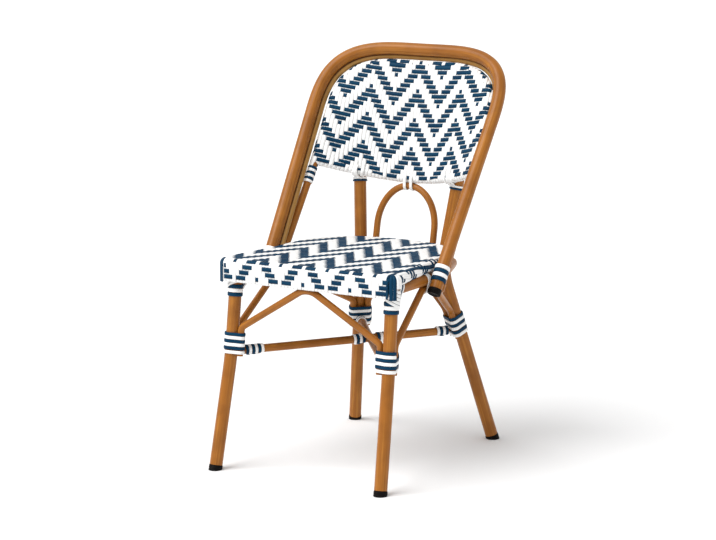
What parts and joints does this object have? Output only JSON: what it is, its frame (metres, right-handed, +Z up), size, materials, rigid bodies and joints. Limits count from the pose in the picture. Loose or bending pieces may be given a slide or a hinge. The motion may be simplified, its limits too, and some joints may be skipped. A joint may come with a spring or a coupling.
{
  "type": "rattan bistro chair",
  "caption": "Bistro side chair: bent tube frame with a rattan look, navy and white woven seat and curved woven back, strand bindings at the joints.",
  "frame": {"origin": "middle of the bounding box in plan, on the floor", "axes": "+Z up, -Y the way the sitter faces, +X to the sitter's left"},
  "size_m": [0.4848, 0.5742, 0.883],
  "materials": {
    "rattan_tube": "satin brown with fine lengthwise streaks, like peeled cane",
    "weave_white": "flat woven strand, white, slight sheen",
    "weave_navy": "flat woven strand, navy blue, slight sheen",
    "black_plastic": "moulded, matte"
  },
  "bodies": {
    "root": {"back_bow": "rattan_tube", "trim_rod": "rattan_tube", "back_hoop": "rattan_tube", "back_bottom_rail": "rattan_tube", "seat_frame": "rattan_tube", "front_rail": "rattan_tube", "rear_rail": "rattan_tube", "back_arch": "rattan_tube", "front_brace": "rattan_tube", "rear_brace": "rattan_tube", "stretcher_long": "rattan_tube", "stretcher_half_front": "rattan_tube", "stretcher_half_rear": "rattan_tube", "front_leg_right": "rattan_tube", "front_leg_left": "rattan_tube", "rear_leg_right": "rattan_tube", "rear_leg_left": "rattan_tube", "side_rail_right": "rattan_tube", "side_rail_left": "rattan_tube", "side_brace_right": "rattan_tube", "side_brace_left": "rattan_tube", "bow_plug_right": "black_plastic", "bow_plug_left": "black_plastic", "front_leg_right_cap": "black_plastic", "front_leg_left_cap": "black_plastic", "rear_leg_right_cap": "black_plastic", "rear_leg_left_cap": "black_plastic", "front_binding_right_navy": "weave_navy", "front_binding_left_navy": "weave_navy", "rear_binding_right_navy": "weave_navy", "rear_binding_left_navy": "weave_navy", "top_binding_right_navy": "weave_navy", "top_binding_left_navy": "weave_navy", "bow_binding_right_navy": "weave_navy", "bow_binding_left_navy": "weave_navy", "corner_binding_right_navy": "weave_navy", "corner_binding_left_navy": "weave_navy", "stretcher_wrap_front_left_navy": "weave_navy", "stretcher_wrap_rear_right_navy": "weave_navy", "stretcher_wrap_front_right_navy": "weave_navy", "stretcher_wrap_rear_left_navy": "weave_navy", "crossing_wrap_front": "weave_navy", "crossing_wrap_rear": "weave_navy", "front_binding_right_white": "weave_white", "front_binding_left_white": "weave_white", "rear_binding_right_white": "weave_white", "rear_binding_left_white": "weave_white", "top_binding_right_white": "weave_white", "top_binding_left_white": "weave_white", "bow_binding_right_white": "weave_white", "bow_binding_left_white": "weave_white", "corner_binding_right_white": "weave_white", "corner_binding_left_white": "weave_white", "stretcher_wrap_front_left_white": "weave_white", "stretcher_wrap_rear_right_white": "weave_white", "stretcher_wrap_front_right_white": "weave_white", "stretcher_wrap_rear_left_white": "weave_white", "arch_tie": "weave_white", "seat_weave": "weave_white", "back_weave": "weave_white"}
  },
  "joints": []
}
